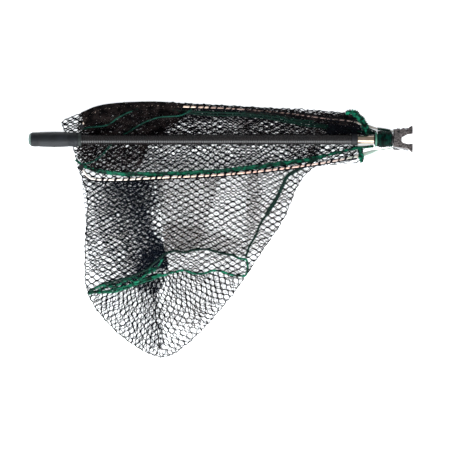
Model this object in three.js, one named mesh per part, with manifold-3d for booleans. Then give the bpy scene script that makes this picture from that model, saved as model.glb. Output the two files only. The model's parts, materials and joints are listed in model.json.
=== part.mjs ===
// A folding landing net with a telescopic handle, folded for storage and lying flat.
// Millimetres, +Z up. While building, X runs from the butt of the grip to the head, Y = 0 is
// the handle's centre line and Z = 0 is the ground. At the end everything is shifted so that
// the origin is the middle of the footprint.
import * as THREE from 'three';
import { mergeVertices } from 'three/addons/utils/BufferGeometryUtils.js';
import Module from 'manifold-3d';

const wasm = await Module();
wasm.setup();

// ---- Driving dimensions ----
const GAP = 0.3;              // running clearance between neighbours
const AXIS_Z = 18.5;          // height of the handle's centre line
const ROUND = 28;             // sides of a turned piece

const GRIP_LENGTH = 92;
const GRIP_R = 13.4;
const GRIP_BULGE = 0.9;
const OUTER_R = 9.5;
const OUTER_WALL = 1.0;
const OUTER_START = 18;
const OUTER_END = 603;
const INNER_R = 7.9;
const INNER_WALL = 1.1;
const INNER_START = 302;      // its rear bush meets the front bush after 0.3 m of travel
const INNER_END = 652;
const SOCKET_R = 10;
const SOCKET_START = 636;
const SOCKET_END = 670;
const WHIP_R = 16;

const HINGE_X = 681;          // flip hinge, across the head
const HINGE_Z = 16.5;
const PIVOT_X = 674.5;        // upright pivots of the two arms
const PIVOT_Y = 15;
const ARM_WIDTH = 5;
const ARM_THICK = 3.2;
const YOKE_Z = 24;            // underside of the yoke's plate
const YOKE_THICK = 6;

const NET_THICK = 2.6;        // one laid-down wall of netting
const SACK_INNER = 4.8;       // height left inside the sack
const CORD_R = 2;
const CORD_Z = NET_THICK + GAP + CORD_R;
const FRONT_CORD_Z = CORD_Z + 0.8;

// ---- Centre lines, chosen by hand ----
const UPPER_ARM = [
  [PIVOT_X, PIVOT_Y], [655, 18.9], [640, 20.5], [624, 25], [597, 33], [543, 39], [469, 49],
  [363, 57.5], [288, 60.5], [223, 62], [149, 58], [112, 44], [98, 24],
];
const LOWER_ARM = [
  [PIVOT_X, -PIVOT_Y], [655, -18.9], [640, -20.5], [615, -28], [584, -35], [517, -46.6],
  [428, -58], [335, -66], [245, -70], [150, -74], [112, -70], [97, -52],
];
// The sack's edge: from the front of the mouth round the bottom to the head.
const SACK_EDGE = [
  [82, -16], [91, -52], [107, -105], [103, -203], [109, -285], [148, -341], [204, -386],
  [250, -401], [295, -374], [369, -294], [432, -203], [471, -144], [500, -78], [530, -49],
  [606, -40],
];
// The netting's edge above the handle: from the head to the front of the mouth.
const UPPER_EDGE = [
  [612, 20], [598, 50], [463, 57], [314, 65], [224, 69], [132, 62], [98, 49], [61, 32], [68, 12],
];
const FRONT_CORD = [
  [97, 19, 9], [112, 23], [145, 27], [168, 42], [212, 60], [265, 64], [300, 57], [282, 45],
  [241, 41], [214, 32], [183, 14], [160, 0], [147, -14], [133, -30], [115, -42], [98, -45, 9],
];
const UPPER_RIM_CORD = [
  [318, 51], [393, 49], [456, 42], [490, 34], [526, 30], [560, 24], [600, 19], [628, 13],
];
const LOWER_RIM_CORD = [
  [114, -51], [137, -57], [162, -61], [232, -62], [286, -60], [343, -57], [388, -52],
  [437, -46], [491, -39], [540, -30], [575, -22], [606, -15.5], [630, -12],
];
const RING_CORD = [
  [122, -284], [156, -280], [204, -265], [245, -250], [279, -242], [316, -247], [349, -242],
  [378, -248], [389, -242], [393, -227], [382, -219], [349, -207], [306, -203], [267, -209],
  [241, -212], [215, -240], [180, -257], [140, -269], [121, -279.5],
];
const SEAM_CORD = [
  [520, -44], [505, -55], [478, -76], [464, -100], [443, -131], [428, -155], [418, -185],
  [402, -212],
];

// ---- Helpers ----
const group = new THREE.Group();
group.name = 'landing_net';

const looks = {
  gripRubber: { color: 0x23262b, roughness: 0.6, metalness: 0 },
  capRubber: { color: 0x4a5350, roughness: 0.6, metalness: 0 },
  blackTube: { color: 0x1b1c20, roughness: 0.35, metalness: 0.6 },
  blackPlastic: { color: 0x101012, roughness: 0.45, metalness: 0 },
  polished: { color: 0xd8c9ae, roughness: 0.2, metalness: 1 },
  castGrey: { color: 0x6a6462, roughness: 0.5, metalness: 0.7 },
  steel: { color: 0xb9bcbe, roughness: 0.3, metalness: 1 },
  darkSteel: { color: 0x2a2a2c, roughness: 0.4, metalness: 0.9 },
  nylon: { color: 0xd9dccf, roughness: 0.5, metalness: 0 },
  paleGreen: { color: 0xb8d8b4, roughness: 0.4, metalness: 0 },
  armMetal: { color: 0xe6d6c4, roughness: 0.3, metalness: 0.9 },
  greenCord: { color: 0x14784c, roughness: 0.6, metalness: 0 },
  netting: { color: 0x191a1a, roughness: 0.8, metalness: 0 },
};

function addPiece(name, geometry, look) {
  const mesh = new THREE.Mesh(geometry, new THREE.MeshStandardMaterial(looks[look]));
  mesh.name = name;
  group.add(mesh);
  return mesh;
}

function toSolid(geometry) {
  const bare = geometry.clone();
  bare.deleteAttribute('normal');
  bare.deleteAttribute('uv');
  const merged = mergeVertices(bare, 1e-4);
  const vertProperties = new Float32Array(merged.attributes.position.array);
  const triVerts = new Uint32Array(merged.index.array);
  return new wasm.Manifold(new wasm.Mesh({ numProp: 3, vertProperties, triVerts }));
}

function toGeometry(solid) {
  const mesh = solid.getMesh();
  const geometry = new THREE.BufferGeometry();
  geometry.setAttribute('position', new THREE.BufferAttribute(mesh.vertProperties, 3));
  geometry.setIndex(new THREE.BufferAttribute(mesh.triVerts, 1));
  geometry.computeVertexNormals();
  return geometry;
}

function join(first, ...rest) {
  return toGeometry(rest.reduce((sum, piece) => sum.add(toSolid(piece)), toSolid(first)));
}

function cut(first, ...rest) {
  return toGeometry(rest.reduce((left, piece) => left.subtract(toSolid(piece)), toSolid(first)));
}

// A piece turned about the handle's centre line: profile points are [x, radius].
function turned(profile, sides = ROUND) {
  const points = profile.map(([x, radius]) => new THREE.Vector2(radius, x));
  const geometry = new THREE.LatheGeometry(points, sides);
  geometry.rotateZ(-Math.PI / 2);
  geometry.translate(0, 0, AXIS_Z);
  return geometry;
}

function ringProfile(start, end, outer, inner) {
  return [[start, inner], [start, outer], [end, outer], [end, inner], [start, inner]];
}

function box(x0, x1, y0, y1, z0, z1) {
  const geometry = new THREE.BoxGeometry(x1 - x0, y1 - y0, z1 - z0);
  geometry.translate((x0 + x1) / 2, (y0 + y1) / 2, (z0 + z1) / 2);
  return geometry;
}

// A round pin: axis is 'y' or 'z', and from and to are places along it.
function pin(axis, at, from, to, radius, sides = 16) {
  const geometry = new THREE.CylinderGeometry(radius, radius, to - from, sides);
  if (axis === 'z') {
    geometry.rotateX(Math.PI / 2);
    geometry.translate(at[0], at[1], (from + to) / 2);
  } else {
    geometry.translate(at[0], (from + to) / 2, at[1]);
  }
  return geometry;
}

function prism(points, z0, z1) {
  const shape = new THREE.Shape(points.map(([x, y]) => new THREE.Vector2(x, y)));
  const geometry = new THREE.ExtrudeGeometry(shape, { depth: z1 - z0, bevelEnabled: false });
  geometry.translate(0, 0, z0);
  return geometry;
}

function curveThrough(points, z) {
  const route = points.map(([x, y, height]) => new THREE.Vector3(x, y, height ?? z));
  return new THREE.CatmullRomCurve3(route, false, 'centripetal');
}

// The section's x runs upwards and its y runs sideways on a curve that lies flat.
function sweep(section, curve, steps) {
  const shape = new THREE.Shape(section.map(([x, y]) => new THREE.Vector2(x, y)));
  return new THREE.ExtrudeGeometry(shape, { steps, extrudePath: curve, bevelEnabled: false });
}

function roundSection(radius, sides) {
  const turn = (2 * Math.PI) / sides;
  return Array.from({ length: sides }, (_, i) => [
    radius * Math.cos((i + 0.5) * turn), radius * Math.sin((i + 0.5) * turn),
  ]);
}

// A flat bar's section with its corners taken off.
function barSection(thick, width) {
  const t = thick / 2;
  const w = width / 2;
  const c = thick / 3;
  return [[-t, c - w], [-t, w - c], [c - t, w], [t - c, w], [t, w - c], [t, c - w], [t - c, -w],
    [c - t, -w]];
}

function cordAlong(points, z) {
  const curve = curveThrough(points, z);
  const steps = Math.round(curve.getLength() / (6 * CORD_R));
  return sweep(roundSection(CORD_R, 8), curve, steps);
}

function sampled(points, count) {
  return curveThrough(points, 0).getSpacedPoints(count).map((p) => [p.x, p.y]);
}

// ---- Handle: grip, outer tube and front collar ----
function buildHandle() {
  const bore = OUTER_R + GAP;
  const grip = [
    [4, 0], [4, GRIP_R - 2], [6, GRIP_R - 0.6], [14, GRIP_R], [30, GRIP_R + GRIP_BULGE * 0.6],
    [48, GRIP_R + GRIP_BULGE], [66, GRIP_R + GRIP_BULGE * 0.6], [82, GRIP_R],
    [GRIP_LENGTH - 2, GRIP_R - 0.4], [GRIP_LENGTH, GRIP_R - 1.6], [GRIP_LENGTH, bore],
    [OUTER_START - GAP, bore], [OUTER_START - GAP, 0],
  ];
  addPiece('grip_sleeve', turned(grip), 'gripRubber');

  const cap = [[0, 0], [0.4, 6], [1.8, 9.6], [4 - GAP, GRIP_R - 2], [4 - GAP, 0]];
  addPiece('grip_end_cap', turned(cap), 'capRubber');

  const collar = [
    [GRIP_LENGTH + GAP, bore], [GRIP_LENGTH + GAP, 12.4], [96.5, 12.8], [98, 12], [98, bore],
    [GRIP_LENGTH + GAP, bore],
  ];
  addPiece('grip_collar', turned(collar), 'capRubber');

  const tube = ringProfile(OUTER_START, OUTER_END, OUTER_R, OUTER_R - OUTER_WALL);
  addPiece('outer_tube', turned(tube), 'blackTube');

  const plug = [
    [OUTER_START + 2, 0], [OUTER_START + 2, OUTER_R - OUTER_WALL - GAP],
    [40, OUTER_R - OUTER_WALL - GAP], [40, 0],
  ];
  addPiece('tube_butt_plug', turned(plug, 20), 'nylon');

  const nut = [
    [598, bore], [598, 10.4], [599, 10.9], [608, 10.9], [609, 10.3], [609, INNER_R + GAP],
    [607.3, INNER_R + GAP], [607.3, bore], [598, bore],
  ];
  addPiece('tube_end_collar', turned(nut), 'blackPlastic');

  const bush = ringProfile(OUTER_END + GAP, 607, OUTER_R, INNER_R + 0.15);
  addPiece('front_guide_bush', turned(bush, 24), 'nylon');
}

// ---- Telescopic head: inner tube, socket, whipping and yoke ----
function buildHead() {
  const pinX = 660;
  const tube = ringProfile(INNER_START, INNER_END, INNER_R, INNER_R - INNER_WALL);
  addPiece('inner_tube', turned(tube), 'polished');

  const slider = OUTER_R - OUTER_WALL - 0.15;
  const bush = [
    [INNER_START - 10, 2.6], [INNER_START - 10, slider - 0.6], [INNER_START - 9, slider],
    [INNER_START - GAP, slider], [INNER_START - GAP, 2.6], [INNER_START - 10, 2.6],
  ];
  addPiece('friction_bush', turned(bush, 24), 'nylon');

  const plugR = INNER_R - INNER_WALL - GAP;
  const plug = [
    [INNER_START + 1, 2.6], [INNER_START + 1, plugR], [INNER_START + 18, plugR],
    [INNER_START + 18, 2.6], [INNER_START + 1, 2.6],
  ];
  addPiece('expander_plug', turned(plug, 24), 'nylon');

  const screw = [
    [INNER_START - 13, 0], [INNER_START - 13, 4.6], [INNER_START - 10 - GAP, 4.6],
    [INNER_START - 10 - GAP, 2.3], [INNER_START + 22, 2.3], [INNER_START + 22, 0],
  ];
  addPiece('expander_screw', turned(screw, 12), 'steel');

  const socket = [
    [SOCKET_START, INNER_R + GAP], [SOCKET_START, SOCKET_R - 0.8], [SOCKET_START + 1, SOCKET_R],
    [SOCKET_END, SOCKET_R], [SOCKET_END, 6.8], [INNER_END + GAP, 6.8],
    [INNER_END + GAP, INNER_R + GAP], [SOCKET_START, INNER_R + GAP],
  ];
  const pinHole = pin('z', [pinX, 0], AXIS_Z - 20, AXIS_Z + 20, 1.8);
  addPiece('head_socket', cut(turned(socket), pinHole), 'blackPlastic');

  const lip = [
    [637.5, SOCKET_R + GAP], [637.5, 12.6], [639, 13.4], [640.7, 13], [640.7, SOCKET_R + GAP],
    [637.5, SOCKET_R + GAP],
  ];
  addPiece('socket_lip_ring', turned(lip), 'paleGreen');

  const whipping = [
    [641, SOCKET_R + GAP], [641, 12.5], [644, 15], [649, WHIP_R], [655, WHIP_R - 0.4],
    [659, 13.8], [662, 13.4], [667, 13.4], [669.5, 12], [669.5, SOCKET_R + GAP],
    [641, SOCKET_R + GAP],
  ];
  addPiece('cord_whipping', turned(whipping), 'greenCord');

  const crossPin = pin('z', [pinX, 0], AXIS_Z - SOCKET_R, AXIS_Z + SOCKET_R, 1.5);
  addPiece('socket_cross_pin', crossPin, 'steel');
  addPiece('yoke', buildYoke(pinHole), 'castGrey');
  for (const [side, sign] of [['upper', 1], ['lower', -1]]) {
    addPiece(`yoke_rivet_${side}`, buildRivet(sign), 'darkSteel');
    addPiece(`catch_spring_${side}`, buildCatchSpring(sign), 'steel');
  }
}

const RIVET_X = 681;
const RIVET_Y = 12.4;

// The yoke: a plate with two spread jaws, a block under it for the flip hinge, and a stub
// that fits in the socket.
function buildYoke(pinHole) {
  const side = [
    [672, 15.6], [686, 15.6], [692, 17.5], [698, 25], [706, 25.5], [706, 19], [699.5, 18],
    [699.5, 14.5], [706, 13.5], [706, 9], [699, 8.2], [690, 3.6], [685.5, 1.4],
  ];
  const otherSide = side.map(([x, y]) => [x, -y]).reverse();
  const plate = prism([...side, ...otherSide], YOKE_Z, YOKE_Z + YOKE_THICK);
  const block = box(671.3, 686, -8, 8, 11, YOKE_Z + 1);
  const stub = turned([[653, 0], [653, 6.4], [673, 6.4], [673, 0]], 20);
  const hingeBore = pin('y', [HINGE_X, HINGE_Z], -20, 20, 2.3);
  const rivetHoles = [1, -1].map((sign) => pin('z', [RIVET_X, sign * RIVET_Y], 20, 34, 1.5));
  return cut(join(plate, block, stub), hingeBore, pinHole, ...rivetHoles);
}

function buildRivet(sign) {
  const top = YOKE_Z + YOKE_THICK;
  const profile = [
    [22.1, 0], [22.1, 2], [22.6, 2.2], [22.6, 1.2], [top + GAP, 1.2], [top + GAP, 2.6],
    [top + 1.2, 2.2], [top + 1.6, 0],
  ];
  const points = profile.map(([z, radius]) => new THREE.Vector2(radius, z));
  const rivet = new THREE.LatheGeometry(points, 14);
  rivet.rotateX(Math.PI / 2);
  rivet.translate(RIVET_X, sign * RIVET_Y, 0);
  return rivet;
}

// A thin leaf under each jaw that grips the arm when the hoop is open.
function buildCatchSpring(sign) {
  const leaf = prism(
    [[672, 9.4], [672, 14.4], [686, 16.4], [695, 22.6], [697.5, 18.6], [688, 11]]
      .map(([x, y]) => [x, sign * y]),
    22.9, YOKE_Z - GAP,
  );
  return cut(leaf, pin('z', [RIVET_X, sign * RIVET_Y], 20, 26, 1.5));
}

// ---- Flip hinge: pin, two knuckles and the arms' pivots ----
function buildHinge() {
  const shaft = pin('y', [HINGE_X, HINGE_Z], -20.4, 20.4, 2, 20);
  const heads = [pin('y', [HINGE_X, HINGE_Z], 19.4, 21, 3, 20),
    pin('y', [HINGE_X, HINGE_Z], -21, -19.4, 3, 20)];
  addPiece('hinge_pin', join(shaft, ...heads), 'steel');

  for (const [side, sign] of [['upper', 1], ['lower', -1]]) {
    const near = sign > 0 ? 8.4 : -19;
    const far = sign > 0 ? 19 : -8.4;
    const barrel = pin('y', [HINGE_X, HINGE_Z], near, far, 4.8, 24);
    const lug = box(671.6, HINGE_X, near, far, HINGE_Z - 4.8, HINGE_Z + 4.8);
    const slot = box(670, 678, -25, 25, HINGE_Z - 1.9, HINGE_Z + 1.9);
    const at = [PIVOT_X, sign * PIVOT_Y];
    const bore = pin('y', [HINGE_X, HINGE_Z], -25, 25, 2.3, 20);
    const pivotHole = pin('z', at, 5, 30, 1.7);
    const knuckle = cut(join(barrel, lug), slot, bore, pivotHole);
    addPiece(`hinge_knuckle_${side}`, knuckle, 'castGrey');
    addPiece(`arm_pivot_pin_${side}`, pin('z', at, HINGE_Z - 5, HINGE_Z + 5, 1.4), 'steel');
  }
}

// ---- Hoop arms ----
function buildArm(side, route, sign) {
  const curve = curveThrough(route, HINGE_Z);
  const bar = sweep(barSection(ARM_THICK, ARM_WIDTH), curve, 44);
  const at = [PIVOT_X, sign * PIVOT_Y];
  const eye = pin('z', at, HINGE_Z - ARM_THICK / 2, HINGE_Z + ARM_THICK / 2, 2.9);
  const hole = pin('z', at, 5, 30, 1.7);
  const [tipX, tipY] = route[route.length - 1];
  const trimTip = box(tipX - 20, tipX + 20, tipY - sign * 5 - 8, tipY - sign * 5 + 8, 5, 30);
  addPiece(`${side}_arm`, cut(join(bar, eye), hole, trimTip), 'armMetal');

  // A plastic cap closes the arm's tip.
  const edge = tipY + sign * (3 - GAP);
  const low = Math.min(edge, edge - sign * 8);
  const cap = box(tipX - 3.6, tipX + 3.6, low, low + 8, HINGE_Z - 3, HINGE_Z + 3);
  addPiece(`${side}_tip_cap`, cap, 'blackPlastic');

  // The netting's hem runs under the arm from its tip to the throat.
  const hemRoute = route.slice(3, -1).map(([x, y]) => [x, y, HINGE_Z - ARM_THICK / 2 - 2.2]);
  const hem = sweep(roundSection(2, 4), curveThrough(hemRoute, 0), 28);
  addPiece(`${side}_net_hem`, hem, 'netting');
}

// ---- Net bag and its cords ----
function buildNet() {
  const sackEdge = sampled(SACK_EDGE, 44);
  const upperEdge = sampled(UPPER_EDGE, 26);
  const floor = prism([...sackEdge, ...upperEdge], 0, NET_THICK);
  addPiece('net_lower_panel', floor, 'netting');

  // The sack's upper panel starts under the lower arm.
  const top = NET_THICK + SACK_INNER;
  const panelEdge = sampled(SACK_EDGE.slice(2, 14), 40);
  const mouthEdge = sampled(LOWER_ARM.slice(5, -1), 20);
  addPiece('net_upper_panel', prism([...panelEdge, ...mouthEdge], top, top + NET_THICK), 'netting');

  // The side seam joins the two panels all round the sack.
  const centre = new THREE.Vector2(290, -170);
  const outer = sampled(SACK_EDGE.slice(2, 13), 36);
  const inner = outer.map(([x, y]) => {
    const inward = new THREE.Vector2(centre.x - x, centre.y - y).setLength(5);
    return [x + inward.x, y + inward.y];
  });
  const seam = prism([...outer, ...inner.reverse()], NET_THICK + GAP, top - GAP);
  addPiece('net_side_seam', seam, 'netting');

  addPiece('front_cord', cordAlong(FRONT_CORD, FRONT_CORD_Z), 'greenCord');
  addPiece('upper_rim_cord', cordAlong(UPPER_RIM_CORD, CORD_Z), 'greenCord');
  addPiece('lower_rim_cord', cordAlong(LOWER_RIM_CORD, CORD_Z), 'greenCord');
  addPiece('ring_cord', cordAlong(RING_CORD, CORD_Z), 'greenCord');
  addPiece('seam_cord', cordAlong(SEAM_CORD, CORD_Z), 'greenCord');
}

// Green bindings that tie the netting's throat to the arms.
function buildBindings() {
  const height = HINGE_Z + ARM_THICK / 2 + GAP;
  const upper = curveThrough([[600, 50], [612, 34], [625, 17]], height + 4);
  addPiece('upper_binding', sweep(roundSection(4, 10), upper, 6), 'greenCord');
  const lower = curveThrough([[612, -15], [613.5, -27], [616, -40]], height + 3.2);
  addPiece('lower_binding', sweep(roundSection(3, 10), lower, 6), 'greenCord');
}

buildHandle();
buildHead();
buildHinge();
buildArm('upper', UPPER_ARM, 1);
buildArm('lower', LOWER_ARM, -1);
buildNet();
buildBindings();

// ---- Put the origin in the middle of the footprint ----
const bounds = new THREE.Box3().setFromObject(group);
const middle = bounds.getCenter(new THREE.Vector3());
group.position.set(-middle.x, -middle.y, -bounds.min.z);
group.updateMatrixWorld(true);

export default group;
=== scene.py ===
import json
import math

import bmesh
import bpy
import numpy as np
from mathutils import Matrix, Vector


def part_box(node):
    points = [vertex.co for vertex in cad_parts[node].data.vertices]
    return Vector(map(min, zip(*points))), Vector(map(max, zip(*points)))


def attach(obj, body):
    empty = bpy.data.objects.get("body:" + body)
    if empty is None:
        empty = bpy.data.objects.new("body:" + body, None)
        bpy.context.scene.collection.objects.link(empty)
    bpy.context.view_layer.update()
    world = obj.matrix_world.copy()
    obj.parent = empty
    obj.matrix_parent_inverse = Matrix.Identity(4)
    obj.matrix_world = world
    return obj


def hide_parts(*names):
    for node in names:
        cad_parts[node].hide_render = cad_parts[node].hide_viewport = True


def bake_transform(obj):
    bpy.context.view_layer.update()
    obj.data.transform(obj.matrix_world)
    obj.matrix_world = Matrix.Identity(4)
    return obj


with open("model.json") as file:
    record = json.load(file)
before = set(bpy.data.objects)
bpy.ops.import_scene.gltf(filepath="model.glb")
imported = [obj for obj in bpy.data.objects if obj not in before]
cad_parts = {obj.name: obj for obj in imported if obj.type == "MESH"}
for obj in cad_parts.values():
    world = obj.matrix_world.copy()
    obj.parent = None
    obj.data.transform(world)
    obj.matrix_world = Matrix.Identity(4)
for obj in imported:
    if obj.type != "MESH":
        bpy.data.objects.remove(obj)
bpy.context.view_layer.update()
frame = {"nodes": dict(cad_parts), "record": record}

# Places. Routes are in millimetres: x from the butt of the grip, y from the
# handle's centre line, z from the ground. row() turns them into the frame's metres.
MM = 0.001
TUBE_LOW, TUBE_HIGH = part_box("outer_tube")
BUTT_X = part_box("grip_end_cap")[0][0]
AXIS_Y = (TUBE_LOW[1] + TUBE_HIGH[1]) / 2
AXIS_Z = (TUBE_LOW[2] + TUBE_HIGH[2]) / 2 / MM
ARM_LOW, ARM_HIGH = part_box("upper_arm")
ARM_Z = (ARM_LOW[2] + ARM_HIGH[2]) / 2 / MM
PIN_LOW, PIN_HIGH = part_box("arm_pivot_pin_upper")
PIVOT_X = ((PIN_LOW[0] + PIN_HIGH[0]) / 2 - BUTT_X) / MM
PIVOT_Y = ((PIN_LOW[1] + PIN_HIGH[1]) / 2 - AXIS_Y) / MM

CELL = 11.0                   # netting cell, flat to flat
STRAND_R = 0.76               # netting strand
FINE_R = 0.6                  # strand of the walls that lie underneath
SIDE = CELL / math.sqrt(3)
ROW = CELL / 2
CORD_R = 2.2                  # green cord
COIL_STEPS = 20               # points in one turn of a wound cord
LAY_STEPS = 12                # points in one turn of a laid cord
UP = (0, 0, 1.0)

UPPER_ARM = [
    (PIVOT_X, PIVOT_Y), (655, 18.9), (640, 20.5), (624, 25), (597, 33), (543, 39), (469, 49),
    (363, 57.5), (288, 60.5), (223, 62), (149, 58), (112, 44), (98, 24),
]
LOWER_ARM = [
    (PIVOT_X, -PIVOT_Y), (655, -18.9), (640, -20.5), (615, -28), (584, -35), (517, -46.6),
    (428, -58), (335, -66), (245, -70), (150, -74), (112, -70), (97, -52),
]
SACK_EDGE = [
    (82, -16), (91, -52), (107, -105), (103, -203), (109, -285), (148, -341), (204, -386),
    (250, -401), (295, -374), (369, -294), (432, -203), (471, -144), (500, -78), (530, -49),
    (606, -40),
]
UPPER_EDGE = [
    (612, 20), (600, 46), (588, 49), (572, 50), (537, 53), (500, 56), (463, 57), (314, 65),
    (224, 69), (132, 62), (98, 49), (61, 32), (68, 12),
]
FRONT_CORD = [
    (97, 19), (112, 23), (145, 27), (168, 42), (212, 60), (265, 64), (300, 57), (282, 45),
    (241, 41), (214, 32), (183, 14), (160, 0), (147, -14), (133, -30), (115, -42), (98, -45),
]
UPPER_RIM_CORD = [
    (318, 51), (393, 49), (456, 42), (490, 34), (526, 30), (560, 24), (600, 19), (628, 13),
]
LOWER_RIM_CORD = [
    (86, -37), (98, -46), (115, -52), (138, -58), (162, -61), (232, -62), (286, -60), (343, -57),
    (388, -52), (437, -46), (491, -39), (540, -30), (575, -22), (606, -15.5), (636, -11.5),
]
RING_CORD = [
    (110, -284), (156, -280), (204, -265), (245, -250), (279, -242), (316, -247), (349, -242),
    (386, -252), (400, -250), (401, -222), (384, -217), (349, -207), (306, -202), (290, -207),
    (258, -208), (243, -218), (215, -240), (180, -254), (130, -270), (108, -282),
]
SEAM_CORD = [
    (532, -36), (500, -55), (478, -68), (468, -88), (454, -116), (438, -139), (426, -157),
    (419, -176), (408, -194), (400, -216),
]
GATHER_CORDS = [
    [(112, -279), (134, -270), (158, -271), (180, -258), (200, -262), (216, -248), (234, -240),
     (247, -220)],
    [(124, -280), (150, -268), (172, -266), (190, -254), (206, -256), (224, -238), (240, -234)],
]


def row(points):
    """Working millimetres to the row frame's metres."""
    points = np.asarray(points, float)
    return points * MM + np.array([BUTT_X, AXIS_Y, 0.0])


# ---- Curves ----
def smooth_route(points, step):
    """A centripetal spline through the points, sampled at even steps."""
    p = np.asarray(points, float)
    p = np.vstack([2 * p[0] - p[1], p, 2 * p[-1] - p[-2]])
    pieces = []
    for i in range(1, len(p) - 2):
        knots = np.zeros(4)
        for k in range(3):
            knots[k + 1] = knots[k] + max(np.linalg.norm(p[i + k] - p[i + k - 1]), 1e-6) ** 0.5
        t = np.linspace(knots[1], knots[2], 16, endpoint=False)[:, None]
        a = [
            ((knots[k + 1] - t) * p[i + k - 1] + (t - knots[k]) * p[i + k])
            / (knots[k + 1] - knots[k]) for k in range(3)
        ]
        b = [
            ((knots[k + 2] - t) * a[k] + (t - knots[k]) * a[k + 1]) / (knots[k + 2] - knots[k])
            for k in range(2)
        ]
        pieces.append(((knots[2] - t) * b[0] + (t - knots[1]) * b[1]) / (knots[2] - knots[1]))
    fine = np.vstack(pieces + [p[-2:-1]])
    return even_steps(fine, step)


def even_steps(fine, step):
    """The same line with its points evenly spaced."""
    gaps = np.linalg.norm(np.diff(fine, axis=0), axis=1)
    along = np.concatenate([[0], np.cumsum(gaps)])
    count = max(2, int(round(along[-1] / step)) + 1)
    where = np.linspace(0, along[-1], count)
    return np.stack([np.interp(where, along, fine[:, k]) for k in range(fine.shape[1])], axis=1)


def closed(corners, step=4.0):
    """A straight-sided polygon from its corners, with its edge in even steps."""
    return even_steps(np.array(corners + corners[:1], float), step)[:-1]


def with_height(route, height):
    """Adds z to a flat route: height is a number or a function of x and y."""
    z = height(route[:, 0], route[:, 1]) if callable(height) else np.full(len(route), height)
    return np.column_stack([route[:, :2], z])


def unit(v):
    return v / np.maximum(np.linalg.norm(v, axis=-1, keepdims=True), 1e-9)


def tangents(points):
    return unit(np.gradient(points, axis=0))


def side_and_top(path):
    """The directions across a path and over it, at each of its points."""
    t = tangents(path)
    across = unit(np.cross(t, UP))
    return across, np.cross(across, t)


def around(path, angle):
    """Directions that turn round a path, by an angle for each point."""
    across, over = side_and_top(path)
    return np.cos(angle)[:, None] * across + np.sin(angle)[:, None] * over


def shifted(route, away):
    """A flat route moved sideways."""
    t = tangents(route)
    return route + away[:, None] * np.column_stack([t[:, 1], -t[:, 0]])


def ripple(x, y, size, seed):
    """Smooth, fixed unevenness between about -1 and 1; size is its wavelength."""
    k = 2 * math.pi / size
    return (
        np.sin(k * (0.93 * x + 0.36 * y) + 1.7 * seed)
        + np.sin(k * (-0.42 * x + 1.11 * y) + 2.9 * seed + 1.3)
        + np.sin(k * (0.71 * x - 0.83 * y) * 0.61 + 4.1 * seed + 0.4)
    ) / 2.4


# ---- Meshes ----
class Builder:
    """Collects tubes and makes one mesh of them."""

    def __init__(self):
        self.points = []
        self.loops = []
        self.totals = []
        self.count = 0

    def tube(self, path, radius, sides=6, up=(0, 0, 1)):
        """A closed tube along path. radius may vary; up sets how the section is turned."""
        path = np.asarray(path, float)
        n = len(path)
        if n < 2:
            return
        t = tangents(path)
        up = np.broadcast_to(np.asarray(up, float), t.shape)
        across = unit(np.cross(t, up))
        over = np.cross(across, t)
        angle = (np.arange(sides) + 0.5) * 2 * math.pi / sides
        r = np.broadcast_to(np.asarray(radius, float), (n,))[:, None, None]
        rings = (
            path[:, None]
            + r * np.cos(angle)[None, :, None] * across[:, None]
            + r * np.sin(angle)[None, :, None] * over[:, None]
        )
        self.rings(rings)

    def rings(self, rings):
        """Joins rings of points, n by sides by 3, into a closed skin."""
        n, sides = rings.shape[:2]
        base = self.count
        self.points.append(rings.reshape(-1, 3))
        self.count += n * sides
        i = np.arange(n - 1)[:, None]
        j = np.arange(sides)[None, :]
        k = (j + 1) % sides
        quads = np.stack(
            [i * sides + j, i * sides + k, (i + 1) * sides + k, (i + 1) * sides + j], axis=-1
        ).reshape(-1, 4) + base
        self.loops.append(quads.reshape(-1))
        self.totals.append(np.full(len(quads), 4))
        first = base + np.arange(sides)[::-1]
        last = base + (n - 1) * sides + np.arange(sides)
        self.loops.extend([first, last])
        self.totals.append(np.array([sides, sides]))

    def make(self, name, material, sharp=None):
        mesh = bpy.data.meshes.new(name)
        points = row(np.vstack(self.points))
        loops = np.concatenate(self.loops)
        totals = np.concatenate(self.totals)
        starts = np.concatenate([[0], np.cumsum(totals)[:-1]])
        mesh.vertices.add(len(points))
        mesh.vertices.foreach_set("co", points.astype(np.float32).reshape(-1))
        mesh.loops.add(len(loops))
        mesh.loops.foreach_set("vertex_index", loops.astype(np.int32))
        mesh.polygons.add(len(totals))
        mesh.polygons.foreach_set("loop_start", starts.astype(np.int32))
        mesh.update(calc_edges=True)
        mesh.validate()
        return add_object(name, mesh, material, sharp)


def add_object(name, mesh, material, sharp=None):
    mesh.polygons.foreach_set("use_smooth", np.ones(len(mesh.polygons), bool))
    if sharp is not None:
        mesh.set_sharp_from_angle(angle=math.radians(sharp))
    mesh.materials.append(material)
    piece = bpy.data.objects.new(name, mesh)
    bpy.context.scene.collection.objects.link(piece)
    return piece


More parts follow.
